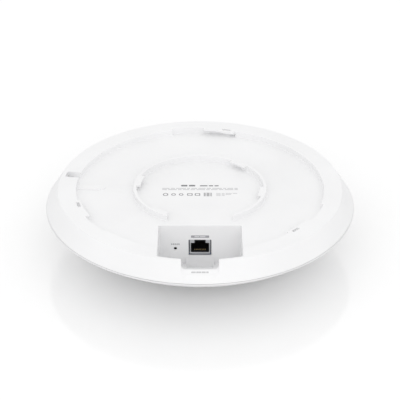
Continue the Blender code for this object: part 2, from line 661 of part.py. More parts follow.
def make_jack_contacts():
    """Eight sprung wires that slope up toward the back of the plug cavity."""
    low, rise, t = CAVITY_LOW + GAP, 2.4, 0.4
    nose, knee, tail = JACK_FRONT + 1.6, JACK_FRONT + 3.0, CAVITY_BACK - GAP
    outline = [(nose, low), (knee, low), (tail, low + rise), (tail, low + rise + t),
               (knee, low + t), (nose, low + t)]
    for number in range(CONTACTS):
        x = (number - (CONTACTS - 1) / 2.0) * CONTACT_PITCH
        make_object(f"jack_contact_{number + 1}",
                    prism_along_x(outline, x - CONTACT_W / 2, x + CONTACT_W / 2), GOLD, 0.25, 1.0)


def make_reset_switch():
    body = make_object("reset_switch",
                       box(RESET_X - SWITCH_HALF_W, RESET_X + SWITCH_HALF_W, SWITCH_FRONT, SWITCH_BACK,
                           BOARD_TOP + GAP, RESET_Z + 3.2), BLACK, 0.45)
    cut(body, "button_bore",
        rod_along_y(SWITCH_BORE_R, SWITCH_FRONT - 1.0, SWITCH_BORE_BACK, RESET_X, RESET_Z))
    button = rod_along_y(BUTTON_R, BUTTON_FRONT, BUTTON_BACK, RESET_X, RESET_Z)
    make_object("reset_button", button, BLACK, 0.5)


def main():
    clear_scene()
    make_back_shell()
    make_front_cover()
    make_light_guide()
    make_main_board()
    make_heat_spreader()
    make_chips_and_cans()
    make_power_parts()
    make_status_leds()
    make_antennas()
    make_screws()
    make_jack_shield()
    make_jack_body()
    make_jack_contacts()
    make_reset_switch()


main()
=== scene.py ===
"""Looks of the ceiling access point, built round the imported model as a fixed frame.

Shapes are drawn in millimetres in the model's own frame and turned into metres by
finish_mesh.  The object lies on its domed front, with its mounting side up and the
cable port toward -Y.
"""

import math

import bmesh
import bpy
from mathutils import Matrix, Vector


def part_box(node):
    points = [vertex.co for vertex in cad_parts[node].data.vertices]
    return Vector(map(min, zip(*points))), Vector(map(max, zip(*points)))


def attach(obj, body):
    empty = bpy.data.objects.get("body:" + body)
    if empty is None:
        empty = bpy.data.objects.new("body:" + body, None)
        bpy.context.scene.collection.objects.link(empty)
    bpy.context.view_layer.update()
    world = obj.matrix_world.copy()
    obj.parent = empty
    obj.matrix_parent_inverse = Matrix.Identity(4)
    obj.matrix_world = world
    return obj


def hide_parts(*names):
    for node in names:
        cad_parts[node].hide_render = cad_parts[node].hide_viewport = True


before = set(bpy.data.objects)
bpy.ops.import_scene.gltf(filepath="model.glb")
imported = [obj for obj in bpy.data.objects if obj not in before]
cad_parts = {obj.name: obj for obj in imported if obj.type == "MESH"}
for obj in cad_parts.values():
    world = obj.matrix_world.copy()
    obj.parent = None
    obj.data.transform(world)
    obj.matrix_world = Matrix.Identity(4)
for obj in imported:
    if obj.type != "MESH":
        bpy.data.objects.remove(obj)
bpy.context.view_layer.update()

MM = 0.001
BODY = "access_point"
BUTTON_BODY = "reset_button"
SEGMENTS = 240                # sides of the large turned shapes
TINY = 0.03                   # keeps tool faces from coinciding with the faces they meet
STEP = 0.15                   # how far apart two tools stand where they would share a face
GAP = 0.3                     # between the cover's tongue and the shell

# ---- sizes read from the frame, in millimetres ----
shell_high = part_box("back_shell")[1] / MM
cover_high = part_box("front_cover")[1] / MM
jack_low, jack_high = (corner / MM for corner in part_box("jack_shield"))
body_low, body_high = (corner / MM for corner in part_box("jack_body"))
button_low, button_high = (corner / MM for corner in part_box("reset_button"))
HEIGHT = shell_high.z
RIM_R = cover_high.x
BACK_RING_R = 101.0
RIM_Z = 34.3
FLANK_SLOPE = (RIM_R - BACK_RING_R) / (HEIGHT - RIM_Z)
SHELL_EDGE_Z = 35.1
SEAM = 0.15
COVER_EDGE_Z = SHELL_EDGE_Z - SEAM
WALL = 2.2

# ---- mounting side ----
RECESS_R = 88.2
RECESS_Z = HEIGHT - 4.47
TAB_STARTS = (73.0, 193.0, 313.0)
TAB_SPAN, CUTOUT_SPAN = 15.2, 15.4
TAB_R, CUTOUT_R = 86.5, 90.2
TAB_THIN, TAB_THICK = 1.0, 2.2
SLOT_R_IN, SLOT_R_OUT = 87.8, 90.0
SLOT_START, SLOT_SPAN = 2.0, 4.2
CUT_START_R, UNDERCUT_R = 84.0, 83.4                # where the cuts start, inside the recess
NOTCH_AZ, NOTCH_W, NOTCH_R, NOTCH_DEEP_R, NOTCH_DEPTH = 169.6, 7.7, 98.0, 93.5, 4.5
NOTCH_BOSS_R, NOTCH_BOSS_L, NOTCH_BOSS_W, NOTCH_BOSS_DEPTH = 95.6, 8.8, NOTCH_W + 4.0, 6.5
RIB_AZ, RIB_W, RIB_R, RIB_H = 176.0, 6.3, 68.0, 1.0
RING_R_OUT, RING_R_IN, RING_GAP_X = 47.5, 45.3, 22.7
RING_TAB_R, RING_TAB_THICK = 42.5, 1.6
RING_TABS = ((42.0, 59.0), (160.0, 178.0), (221.0, 239.0), (343.0, 359.0))
BOSS_PLACE_R, BOSS_R, BOSS_LOW = 60.0, 4.0, 29.9
HOLE_R, HOLE_LOW, HOLE_HIGH = 1.65, 28.9, 38.2

# ---- cable port ----
PORT_X, PORT_Y, PORT_R, PORT_WALL = 28.7, -47.6, 98.8, 2.0
PORT_FLOOR_Z, PORT_FLOOR_RISE = 12.7, 0.42
CHANNEL_X, CHANNEL_R, CHANNEL_WALL = 12.5, 101.2, 1.6
CHANNEL_Z, CHANNEL_CORNER = 42.2, 2.3
LIP_X, LIP_TOP_Z, LIP_LOW_Z = 12.7, 42.3, 40.3
LIP_TOP_Y, LIP_LOW_Y, LIP_CORNER = -102.9, -105.65, 3.0
APRON_X, APRON_TOP_Z, APRON_FOOT_Y, APRON_FOOT_Z = 9.6, 19.0, -51.35, 9.4
PORT_SIDE_Y = -86.0
SUMP_X, SUMP_DROP, SUMP_Y, SUMP_WALL = 9.45, 3.9, -65.0, 1.5
OPENING_X, OPENING_LOW, OPENING_HIGH = 7.9, 19.5, 32.1
OPENING_RIM, RELIEF_SIDE, RELIEF_LOW = 0.5, 0.8, 0.35
RESET_X, RESET_Z, PINHOLE_R = -17.1, 25.1, 1.1

# ---- jack ----
SOCKET_X, SOCKET_LOW, SOCKET_HIGH = 6.4, 21.8, 29.3
LATCH_X = 3.9
SHIELD_T = 0.4
CAVITY_X, CAVITY_LOW, CAVITY_BACK = 5.95, 22.2, -34.0
CONTACTS, WIRE_R = 8, 0.22
CONTACT_SHADE_START_Y, CONTACT_SHADE_FADE = -45.0, 0.6   # where a wire's painted shade begins, and over what length it fades in

# ---- printed marks ----
SYMBOL_Y, SYMBOL_LINE = -4.4, 0.6
LABEL_Z = 34.6
RESET_MARKS, RESET_MARK_STEP, RESET_MARK_Z = 5, 1.25, 28.5

# ---- domed front ----
DOME_FLAT_R = 12.0
DOME_ARC_R = ((RIM_R - DOME_FLAT_R) ** 2 + RIM_Z ** 2) / (2.0 * RIM_Z)
COVER_WALL = 2.2
LIGHT_R_IN, LIGHT_R_OUT, LIGHT_GROOVE_DEPTH = 33.0, 36.0, 0.5
RIM_SOFT = 0.35               # rounding of the outermost edge


# =============================== shape helpers ===============================

def polar(radius, azimuth, centre=(0.0, 0.0)):
    angle = math.radians(azimuth)
    return centre[0] + radius * math.cos(angle), centre[1] + radius * math.sin(angle)


def arc_points(radius, start, end, steps, centre=(0.0, 0.0)):
    return [polar(radius, start + (end - start) * i / steps, centre) for i in range(steps + 1)]


def rounded(corners, steps=5):
    """Closed outline from (a, b, radius) corners, each turned into an arc of that radius."""
    points = []
    for i, (a, b, radius) in enumerate(corners):
        here = Vector((a, b))
        if radius == 0.0:
            points.append((a, b))
            continue
        back = (Vector(corners[i - 1][:2]) - here).normalized()
        ahead = (Vector(corners[(i + 1) % len(corners)][:2]) - here).normalized()
        half = back.angle(ahead) / 2.0
        centre = here + (back + ahead).normalized() * (radius / math.sin(half))
        first = here + back * (radius / math.tan(half)) - centre
        last = here + ahead * (radius / math.tan(half)) - centre
        for k in range(steps + 1):
            points.append(tuple(centre + radius * first.slerp(last, k / steps)))
    return points


def lathe(profile, segments=SEGMENTS, centre=(0.0, 0.0)):
    """Turn a closed (radius, z) profile round a vertical axis."""
    bm = bmesh.new()
    rings = []
    for radius, z in profile:
        if radius == 0.0:
            rings.append([bm.verts.new((*centre, z))])
        else:
            circle = arc_points(radius, 0.0, 360.0, segments, centre)[:-1]
            rings.append([bm.verts.new((x, y, z)) for x, y in circle])
    for k, first in enumerate(rings):
        second = rings[(k + 1) % len(rings)]
        if len(first) == 1 and len(second) == 1:
            continue
        for i in range(segments):
            j = (i + 1) % segments
            corners = [first[i % len(first)], first[j % len(first)],
                       second[j % len(second)], second[i % len(second)]]
            bm.faces.new(list(dict.fromkeys(corners)))
    return bm


def loft(*outlines):
    """Closed solid through two or more matching outlines of 3-D points."""
    bm = bmesh.new()
    levels = [[bm.verts.new(p) for p in outline] for outline in outlines]
    bm.faces.new(levels[0])
    bm.faces.new(levels[-1])
    count = len(levels[0])
    for low, high in zip(levels, levels[1:]):
        for i in range(count):
            j = (i + 1) % count
            bm.faces.new((low[i], low[j], high[j], high[i]))
    return bm


def prism(outline, low, high):
    """Extrude an (x, y) outline upward; low may be a function of y."""
    floor = low if callable(low) else (lambda y: low)
    return loft([(x, y, floor(y)) for x, y in outline], [(x, y, high) for x, y in outline])


def prism_along_x(outline, x0, x1):
    return loft([(x0, y, z) for y, z in outline], [(x1, y, z) for y, z in outline])


def prism_along_y(outline, near, far):
    """Extrude an (x, z) outline along Y; near may be a function of z."""
    face = near if callable(near) else (lambda z: near)
    return loft([(x, face(z), z) for x, z in outline], [(x, far, z) for x, z in outline])


def rectangle(x0, x1, y0, y1):
    return [(x0, y0), (x1, y0), (x1, y1), (x0, y1)]


def box(x0, x1, y0, y1, z0, z1):
    return prism(rectangle(x0, x1, y0, y1), z0, z1)


def sector(r_in, r_out, start, end, low, high, step=1.6):
    """Block of a ring between two azimuths."""
    steps = max(1, round((end - start) / step))
    outline = arc_points(r_in, start, end, steps) + arc_points(r_out, end, start, steps)
    return prism(outline, low, high)


def turned_block(centre_r, azimuth, length, width, low, high):
    """Box whose length points outward at an azimuth."""
    middle, out, side = polar(centre_r, azimuth), polar(1.0, azimuth), polar(1.0, azimuth + 90.0)
    outline = []
    for along, across in ((-1, -1), (1, -1), (1, 1), (-1, 1)):
        a, b = along * length / 2.0, across * width / 2.0
        outline.append((middle[0] + a * out[0] + b * side[0], middle[1] + a * out[1] + b * side[1]))
    return prism(outline, low, high)


def rod_along_y(radius, y0, y1, x, z, segments=32):
    return prism_along_y(arc_points(radius, 0.0, 360.0, segments, (x, z))[:-1], y0, y1)


def rounded_u(half_width, low, high, corner, steps=8):
    """Upright U outline in (x, z) with round lower corners."""
    right = arc_points(corner, 0.0, -90.0, steps, (half_width - corner, low + corner))
    left = arc_points(corner, -90.0, -180.0, steps, (corner - half_width, low + corner))
    return [(half_width, high)] + right + left + [(-half_width, high)]


def raw_object(name, bm):
    bmesh.ops.recalc_face_normals(bm, faces=bm.faces)
    mesh = bpy.data.meshes.new(name)
    bm.to_mesh(mesh)
    bm.free()
    obj = bpy.data.objects.new(name, mesh)
    bpy.context.scene.collection.objects.link(obj)
    return obj


def bevel(obj, width, segments=3, angle=50.0):
    mod = obj.modifiers.new("edge", "BEVEL")
    mod.width = width
    mod.segments = segments
    mod.limit_method = "ANGLE"
    mod.angle_limit = math.radians(angle)


class Workpiece:
    """An object and the tools that cut into it or are joined to it."""

    def __init__(self, name, bm):
        self.obj = raw_object(name, bm)
        self.tools = []

    def apply(self, operation, bm, soft=0.0):
        tool = raw_object(f"{self.obj.name}_tool", bm)
        if soft:
            bevel(tool, soft)
        mod = self.obj.modifiers.new("tool", "BOOLEAN")
        mod.operation = operation
        mod.object = tool
        self.tools.append(tool)

    def cut(self, bm, soft=0.0):
        self.apply("DIFFERENCE", bm, soft)

    def add(self, bm, soft=0.0):
        self.apply("UNION", bm, soft)

    def done(self):
        """Bake the result into the object's own mesh and remove the tools."""
        bake(self.obj)
        for tool in self.tools:
            bpy.data.objects.remove(tool, do_unlink=True)
        return self.obj


def bake(obj):
    """Turn the object's modifiers into its mesh."""
    depsgraph = bpy.context.evaluated_depsgraph_get()
    mesh = bpy.data.meshes.new_from_object(obj.evaluated_get(depsgraph))
    old = obj.data
    obj.modifiers.clear()
    obj.data = mesh
    bpy.data.meshes.remove(old)


def true_round_normals(mesh):
    """Give narrow faces of turned surfaces normals that point exactly outward from the axis."""
    normals = [Vector(n.vector) for n in mesh.corner_normals]
    narrow = math.radians(2.0)
    for face in mesh.polygons:
        flat = Vector(face.normal.xy)
        if flat.length < 0.02:
            continue
        middle = Vector(face.center.xy)
        around = [abs(middle.angle_signed(Vector(mesh.vertices[v].co.xy), 0.0)) for v in face.vertices]
        tilt = abs(flat.normalized().dot(middle.normalized()))
        if max(around) > narrow or tilt < math.cos(narrow):
            continue
        for loop, v in zip(face.loop_indices, face.vertices):
            out = Vector(mesh.vertices[v].co.xy).normalized()
            normal = normals[loop]
            reach = normal.xy.length * (1.0 if normal.xy.dot(out) > 0.0 else -1.0)
            normals[loop] = Vector((out.x * reach, out.y * reach, normal.z))
    mesh.normals_split_custom_set([tuple(n) for n in normals])


def finish_mesh(obj, mat, body=BODY, replaces=(), sharp=35.0, weighted=False, turned=False):
    """Metres, smooth shading, material, and the body the piece rides on."""
    for vert in obj.data.vertices:
        vert.co *= MM
    obj.data.shade_smooth()
    obj.data.set_sharp_from_angle(angle=math.radians(sharp))
    if weighted:
        mod = obj.modifiers.new("weights", "WEIGHTED_NORMAL")
        mod.keep_sharp = True
        bake(obj)
    if turned:
        true_round_normals(obj.data)
    obj.data.materials.clear()
    obj.data.materials.append(mat)
    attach(obj, body)
    if replaces:
        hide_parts(*replaces)
    return obj


# =============================== materials ===============================

class Nodes:
    """Short names for building a node tree."""

    def __init__(self, name):
        self.mat = bpy.data.materials.new(name)
        self.mat.use_nodes = True
        self.tree = self.mat.node_tree
        self.shader = self.tree.nodes["Principled BSDF"]
        self.place = self.tree.nodes.new("ShaderNodeTexCoord").outputs["Object"]

    def link(self, source, target):
        self.tree.links.new(source, target)

    def set(self, name, value):
        self.shader.inputs[name].default_value = value

    def stretched(self, scale):
        node = self.tree.nodes.new("ShaderNodeMapping")
        node.inputs["Scale"].default_value = scale
        self.link(self.place, node.inputs["Vector"])
        return node.outputs["Vector"]

    def noise(self, scale, detail=3.0, rough=0.5, vector=None):
        node = self.tree.nodes.new("ShaderNodeTexNoise")
        node.inputs["Scale"].default_value = scale
        node.inputs["Detail"].default_value = detail
        node.inputs["Roughness"].default_value = rough
        self.link(vector or self.place, node.inputs["Vector"])
        return node.outputs["Fac"]

    def cells(self, scale, vector=None):
        node = self.tree.nodes.new("ShaderNodeTexVoronoi")
        node.inputs["Scale"].default_value = scale
        self.link(vector or self.place, node.inputs["Vector"])
        return node.outputs["Distance"]

    def ramp(self, factor, *stops):
        node = self.tree.nodes.new("ShaderNodeValToRGB")
        elements = node.color_ramp.elements
        while len(elements) < len(stops):
            elements.new(0.5)
        for element, (position, colour) in zip(elements, stops):
            element.position = position
            element.color = (*colour, 1.0)
        self.link(factor, node.inputs["Fac"])
        return node.outputs["Color"]

    def span(self, factor, low, high):
        node = self.tree.nodes.new("ShaderNodeMapRange")
        node.inputs["To Min"].default_value = low
        node.inputs["To Max"].default_value = high
        self.link(factor, node.inputs["Value"])
        return node.outputs["Result"]

    def bump(self, height, distance, strength=1.0, under=None):
        node = self.tree.nodes.new("ShaderNodeBump")
        node.inputs["Distance"].default_value = distance
        node.inputs["Strength"].default_value = strength
        self.link(height, node.inputs["Height"])
        if under:
            self.link(under, node.inputs["Normal"])
        self.link(node.outputs["Normal"], self.shader.inputs["Normal"])
        return node.outputs["Normal"]


def shade(colour, factor):
    return tuple(min(1.0, channel * factor) for channel in colour)


def moulded_plastic(name, colour, roughness, grain=0.00002, spread=0.02, grain_scale=2600.0):
    """Injection-moulded plastic: spark-eroded grain, faint flow clouds, uneven gloss."""
    n = Nodes(name)
    clouds = n.noise(22.0, 4.0)
    n.link(n.ramp(clouds, (0.3, shade(colour, 1.0 - spread)), (0.7, shade(colour, 1.0 + spread))),
           n.shader.inputs["Base Color"])
    n.link(n.span(n.noise(140.0, 5.0), roughness - 0.05, roughness + 0.05), n.shader.inputs["Roughness"])
    waves = n.bump(n.noise(60.0, 2.0), 0.00002, 0.5)
    n.bump(n.noise(grain_scale, 2.0, 0.6), grain, 0.6, under=waves)
    return n


def rolled_metal(name, colour, roughness, direction=(1.0, 12.0, 1.0), grain=0.00001, metallic=1.0):
    """Sheet metal with fine drawn lines along one axis and patchy gloss."""
    n = Nodes(name)
    n.set("Metallic", metallic)
    lines = n.noise(900.0, 3.0, 0.6, vector=n.stretched(direction))
    patches = n.noise(180.0, 4.0)
    n.link(n.ramp(patches, (0.35, shade(colour, 0.9)), (0.65, colour)), n.shader.inputs["Base Color"])
    n.link(n.span(lines, roughness - 0.08, roughness + 0.1), n.shader.inputs["Roughness"])
    n.bump(lines, grain, 0.5)
    return n


def contact_metal(name, colour, roughness):
    """Plated wire: its own gold at the nose, painted shade in near-black toward the back of the socket."""
    n = rolled_metal(name, colour, roughness, metallic=0.3)
    depth = n.tree.nodes.new("ShaderNodeSeparateXYZ")
    n.link(n.place, depth.inputs["Vector"])
    # mask of the painted shade, rising from the wire's nose toward the back of the socket
    back = n.tree.nodes.new("ShaderNodeMapRange")
    back.inputs["From Min"].default_value = CONTACT_SHADE_START_Y * MM
    back.inputs["From Max"].default_value = (CONTACT_SHADE_START_Y + CONTACT_SHADE_FADE) * MM
    n.link(depth.outputs["Y"], back.inputs["Value"])
    wear = n.noise(600.0, 3.0)
    bright = n.ramp(wear, (0.35, shade(colour, 0.85)), (0.65, colour))
    # painted shade: near-black colour for the length of wire that lies in the socket's shade
    painted_shade = n.ramp(wear, (0.35, (0.012, 0.011, 0.012)), (0.65, (0.020, 0.017, 0.016)))
    mix = n.tree.nodes.new("ShaderNodeMix")
    mix.data_type = "RGBA"
    n.link(back.outputs["Result"], mix.inputs["Factor"])
    n.link(bright, mix.inputs["A"])
    n.link(painted_shade, mix.inputs["B"])
    n.link(mix.outputs["Result"], n.shader.inputs["Base Color"])
    return n


def cast_metal(name, colour, roughness):
    n = Nodes(name)
    n.set("Metallic", 1.0)
    skin = n.noise(700.0, 6.0, 0.65)
    n.link(n.ramp(n.noise(45.0, 5.0), (0.3, shade(colour, 0.82)), (0.7, colour)),
           n.shader.inputs["Base Color"])
    n.link(n.span(skin, roughness - 0.1, roughness + 0.15), n.shader.inputs["Roughness"])
    n.bump(skin, 0.00006, 0.7)
    return n


def circuit_board(name):
    """Solder mask over copper: pale traces, small pads and a woven base."""
    n = Nodes(name)
    bricks = n.tree.nodes.new("ShaderNodeTexBrick")
    bricks.inputs["Scale"].default_value = 160.0
    bricks.inputs["Mortar Size"].default_value = 0.04
    bricks.inputs["Color1"].default_value = (0.012, 0.036, 0.120, 1.0)
    bricks.inputs["Color2"].default_value = (0.016, 0.046, 0.145, 1.0)
    bricks.inputs["Mortar"].default_value = (0.050, 0.105, 0.240, 1.0)
    n.link(n.place, bricks.inputs["Vector"])
    pads = n.ramp(n.cells(420.0), (0.10, (0.62, 0.60, 0.50)), (0.14, (0.0, 0.0, 0.0)))
    mix = n.tree.nodes.new("ShaderNodeMix")
    mix.data_type = "RGBA"
    mix.blend_type = "LIGHTEN"
    mix.inputs["Factor"].default_value = 1.0
    n.link(bricks.outputs["Color"], mix.inputs["A"])
    n.link(pads, mix.inputs["B"])
    n.link(mix.outputs["Result"], n.shader.inputs["Base Color"])
    n.link(n.span(n.noise(300.0, 4.0), 0.28, 0.45), n.shader.inputs["Roughness"])
    n.bump(n.noise(1600.0, 2.0), 0.00002, 0.5)
    return n


def clear_plastic(name, colour, transmission, roughness):
    n = Nodes(name)
    n.set("Transmission Weight", transmission)
    n.link(n.ramp(n.noise(35.0, 3.0), (0.3, shade(colour, 0.96)), (0.7, colour)),
           n.shader.inputs["Base Color"])
    n.link(n.span(n.noise(220.0, 3.0), roughness - 0.05, roughness + 0.08), n.shader.inputs["Roughness"])
    n.bump(n.noise(1400.0, 2.0), 0.00001, 0.4)
    return n


def printed_ink(name, colour):
    """Pad-printed ink: slightly uneven coverage."""
    n = Nodes(name)
    n.link(n.ramp(n.noise(900.0, 4.0, 0.6), (0.35, colour), (0.75, shade(colour, 1.12))),
           n.shader.inputs["Base Color"])
    n.link(n.span(n.noise(1500.0, 3.0), 0.45, 0.6), n.shader.inputs["Roughness"])
    n.bump(n.noise(2600.0, 2.0), 0.00001, 0.5)
    return n


WHITE = (0.88, 0.88, 0.885)
# The cover's white is darker than the shell's as painted shade: it darkens the dome's bounce and its
# reflection in the floor under the rim.
COVER_WHITE = (0.78, 0.78, 0.785)
shell_white = moulded_plastic("shell white", WHITE, 0.46).mat
cover_white = moulded_plastic("cover white", COVER_WHITE, 0.38, grain=0.000012).mat
ring_milky = clear_plastic("light ring", (0.78, 0.79, 0.80), 0.25, 0.35).mat
jack_black = moulded_plastic("jack black", (0.012, 0.012, 0.013), 0.42, spread=0.15).mat
jack_metal = rolled_metal("jack metal", (0.66, 0.67, 0.69), 0.30).mat
contact_gold = contact_metal("contact gold", (0.95, 0.72, 0.36), 0.50).mat
button_black = moulded_plastic("button black", (0.05, 0.05, 0.052), 0.48, spread=0.1).mat
print_grey = printed_ink("print grey", (0.20, 0.20, 0.21)).mat
print_pale = printed_ink("print pale", (0.46, 0.46, 0.47)).mat
print_faint = printed_ink("print faint", (0.56, 0.56, 0.57)).mat
print_white = printed_ink("print white", (0.70, 0.70, 0.71)).mat
label_grey = printed_ink("label grey", (0.36, 0.36, 0.38)).mat


# =============================== back shell ===============================

def flank_r(z):
    return BACK_RING_R + (HEIGHT - z) * FLANK_SLOPE


def port_floor(y):
    return PORT_FLOOR_Z + (PORT_Y - y) * PORT_FLOOR_RISE


def port_underside(y):
    return port_floor(y) - PORT_WALL


def sump_floor(y):
    return port_floor(y) - SUMP_DROP


def port_outline(half_x, wall_y, radius, steps=41):
    """Plan of the cable recess: straight jack wall, arc on the far side."""
    edge = math.degrees(math.acos(half_x / radius))
    far = arc_points(radius, -edge, edge - 180.0, steps)
    return [(half_x, wall_y)] + far + [(-half_x, wall_y)]


def lip_face(z):
    share = (LIP_TOP_Z - z) / (LIP_TOP_Z - LIP_LOW_Z)
    return LIP_TOP_Y + (LIP_LOW_Y - LIP_TOP_Y) * share


def shell_blank():
    wall_h = WALL * math.sqrt(1.0 + FLANK_SLOPE ** 2)
    edge_r = flank_r(SHELL_EDGE_Z)
    inner_top = HEIGHT - WALL
    corners = [
        (0.0, RECESS_Z, 0.0), (RECESS_R, RECESS_Z, 0.6), (RECESS_R, HEIGHT, 0.35),
        (BACK_RING_R, HEIGHT, 0.9), (edge_r, SHELL_EDGE_Z, 0.2), (edge_r - wall_h, SHELL_EDGE_Z, 0.0),
        (flank_r(inner_top) - wall_h, inner_top, 0.0), (RECESS_R + 4.4, inner_top, 0.0),
        (RECESS_R + 4.4, RECESS_Z - WALL, 0.0), (0.0, RECESS_Z - WALL, 0.0)]
    return Workpiece("back_shell_finish", lathe(rounded(corners)))


def chamfer_frustum(outline_at, z, size):
    """Frustum that cuts a 45 degree chamfer where an outline meets a level face."""
    low = [(x, y, z - size - TINY) for x, y in outline_at(-TINY)]
    high = [(x, y, z + TINY) for x, y in outline_at(size + TINY)]
    return loft(low, high)


def make_port(shell):
    half, wall_y, radius = PORT_X + PORT_WALL, PORT_Y + PORT_WALL, PORT_R + PORT_WALL
    shell.add(prism(port_outline(half, wall_y, radius), port_underside, RECESS_Z - 0.5))
    shell.add(prism(port_outline(half + STEP, PORT_SIDE_Y, radius + STEP, 37),
                    RECESS_Z - 4.0, HEIGHT - 1.0))
    nose = port_outline(CHANNEL_X + PORT_WALL, PORT_Y - 21.0, CHANNEL_R + CHANNEL_WALL)
    shell.add(prism(nose, lambda y: port_underside(y) + STEP, CHANNEL_Z - 0.5))
    sump_x, sump_y = SUMP_X + SUMP_WALL, SUMP_Y - SUMP_WALL
    shell.add(prism(rectangle(-sump_x, sump_x, sump_y, wall_y - 2 * STEP),
                    lambda y: sump_floor(y) - SUMP_WALL, APRON_TOP_Z))
    shell.cut(chamfer_frustum(
        lambda d: rectangle(-PORT_X - d, PORT_X + d, -80.0, PORT_Y + d), RECESS_Z, 0.15))
    shell.cut(chamfer_frustum(lambda d: port_outline(PORT_X + d, -70.0, PORT_R + d), HEIGHT, 0.3))
    shell.cut(prism(port_outline(PORT_X, PORT_Y, PORT_R), port_floor, HEIGHT + 5.0), soft=0.8)
    channel = port_outline(CHANNEL_X, PORT_Y - 20.0, CHANNEL_R)
    shell.cut(prism(channel, lambda y: port_floor(y) + STEP, HEIGHT + 4.0), soft=0.6)
    shell.cut(prism(rectangle(-SUMP_X, SUMP_X, SUMP_Y, PORT_Y - STEP), sump_floor, APRON_TOP_Z))
    root_y, root_z = PORT_Y + 1.2, sump_floor(PORT_Y) - 0.6
    apron = [(root_y, APRON_TOP_Z), (PORT_Y, APRON_TOP_Z), (APRON_FOOT_Y, APRON_FOOT_Z),
             (APRON_FOOT_Y, root_z), (root_y, root_z)]
    shell.add(prism_along_x(apron, -APRON_X, APRON_X))


def make_cable_notch(shell):
    notch = rounded_u(CHANNEL_X, CHANNEL_Z, HEIGHT + 5.0, CHANNEL_CORNER)
    shell.cut(prism_along_y(notch, -96.0, -RIM_R - 5.0))
    lip = rounded_u(LIP_X, LIP_LOW_Z, HEIGHT + 4.0, LIP_CORNER)
    shell.cut(prism_along_y(lip, lip_face, -RIM_R - 5.0))


def make_jack_wall(shell):
    near, far = PORT_Y - 3.0, PORT_Y + PORT_WALL + 1.5
    window = rounded([(-OPENING_X, OPENING_LOW, 0.3), (OPENING_X, OPENING_LOW, 0.3),
                      (OPENING_X, OPENING_HIGH, 0.3), (-OPENING_X, OPENING_HIGH, 0.3)], 3)
    shell.cut(prism_along_y(window, near, far))
    side = OPENING_X + RELIEF_SIDE
    relief = (PORT_Y + OPENING_RIM, far + 0.5)
    shell.cut(box(-side, side, *relief, OPENING_LOW - RELIEF_LOW, OPENING_HIGH + RELIEF_SIDE))
    shell.cut(rod_along_y(PINHOLE_R, near, far, RESET_X, RESET_Z))
    shell.cut(rod_along_y(PINHOLE_R + RELIEF_SIDE, *relief, RESET_X, RESET_Z))


def tab_underside(azimuth, start):
    share = min(1.0, max(0.0, (azimuth - start - 4.0) / 6.0))
    return HEIGHT - TAB_THICK + (TAB_THICK - TAB_THIN) * share


def undercut(start):
    """Space under a bayonet tab, with its ramped roof."""
    steps = 12
    first, last = start - 0.6, start + TAB_SPAN + 0.2
    sections = []
    for i in range(steps + 1):
        azimuth = first + (last - first) * i / steps
        roof = tab_underside(azimuth, start)
        inner, outer = polar(UNDERCUT_R, azimuth), polar(CUTOUT_R - TINY, azimuth)
        floor = RECESS_Z - 2 * TINY
        sections.append([(*inner, floor), (*outer, floor), (*outer, roof), (*inner, roof)])
    return loft(*sections)


def make_bayonet(shell):
    for start in TAB_STARTS:
        end = start + TAB_SPAN
        shell.add(sector(TAB_R, RECESS_R + 1.2, start, end, RECESS_Z - 0.4, HEIGHT - TINY / 2),
                  soft=0.25)
        shell.cut(undercut(start))
        shell.cut(sector(CUT_START_R, CUTOUT_R, end, end + CUTOUT_SPAN,
                         RECESS_Z - TINY, HEIGHT + 5.0), soft=0.5)
        first = start + SLOT_START
        shell.cut(sector(SLOT_R_IN, SLOT_R_OUT, first, first + SLOT_SPAN,
                         RECESS_Z + 0.5, HEIGHT + 5.0), soft=0.2)


def make_lock_notch(shell):
    shell.add(turned_block(NOTCH_BOSS_R, NOTCH_AZ, NOTCH_BOSS_L, NOTCH_BOSS_W,
                           RECESS_Z - NOTCH_BOSS_DEPTH, HEIGHT - 1.0))
    length = NOTCH_R - CUT_START_R
    shell.cut(turned_block(NOTCH_R - length / 2.0, NOTCH_AZ, length, NOTCH_W,
                           RECESS_Z - TINY, HEIGHT + 5.0), soft=0.4)
    length = NOTCH_R - NOTCH_DEEP_R
    shell.cut(turned_block(NOTCH_R - length / 2.0 - TINY, NOTCH_AZ, length, NOTCH_W - 2 * TINY,
                           RECESS_Z - NOTCH_DEPTH, HEIGHT + 4.0), soft=0.4)
    out, side = polar(1.0, RIB_AZ), polar(RIB_W / 2.0, RIB_AZ + 90.0)
    outline = []
    for radius, across in ((RIB_R, 0.3), (RIB_R + 2.5, 1.0), (RECESS_R + 1.0, 1.0),
                           (RECESS_R + 1.0, -1.0), (RIB_R + 2.5, -1.0), (RIB_R, -0.3)):
        outline.append((radius * out[0] + across * side[0], radius * out[1] + across * side[1]))
    shell.add(prism(outline, RECESS_Z - 0.6, RECESS_Z + RIB_H), soft=0.3)


def make_inner_ring(shell):
    root = RECESS_Z - TINY
    corners = [
        (RING_R_IN - 0.6, RECESS_Z - 0.6, 0.0), (RING_R_OUT + 0.6, RECESS_Z - 0.6, 0.0),
        (RING_R_OUT + 0.6, root, 0.0), (RING_R_OUT, root, 0.5), (RING_R_OUT, HEIGHT, 0.35),
        (RING_R_IN, HEIGHT, 0.35), (RING_R_IN, root, 0.5), (RING_R_IN - 0.6, root, 0.0)]
    ring = Workpiece("inner_ring", lathe(rounded(corners), 180))
    ring.cut(box(-RING_GAP_X, RING_GAP_X, -60.0, 0.0, 0.0, 60.0))
    ring.done()
    tool = shell.obj.modifiers.new("ring", "BOOLEAN")
    tool.operation = "UNION"
    tool.object = ring.obj
    shell.tools.append(ring.obj)
    for start, end in RING_TABS:
        shell.add(sector(RING_TAB_R, RING_R_IN + 0.9, start, end, HEIGHT - RING_TAB_THICK, HEIGHT - 0.1),
                  soft=0.25)


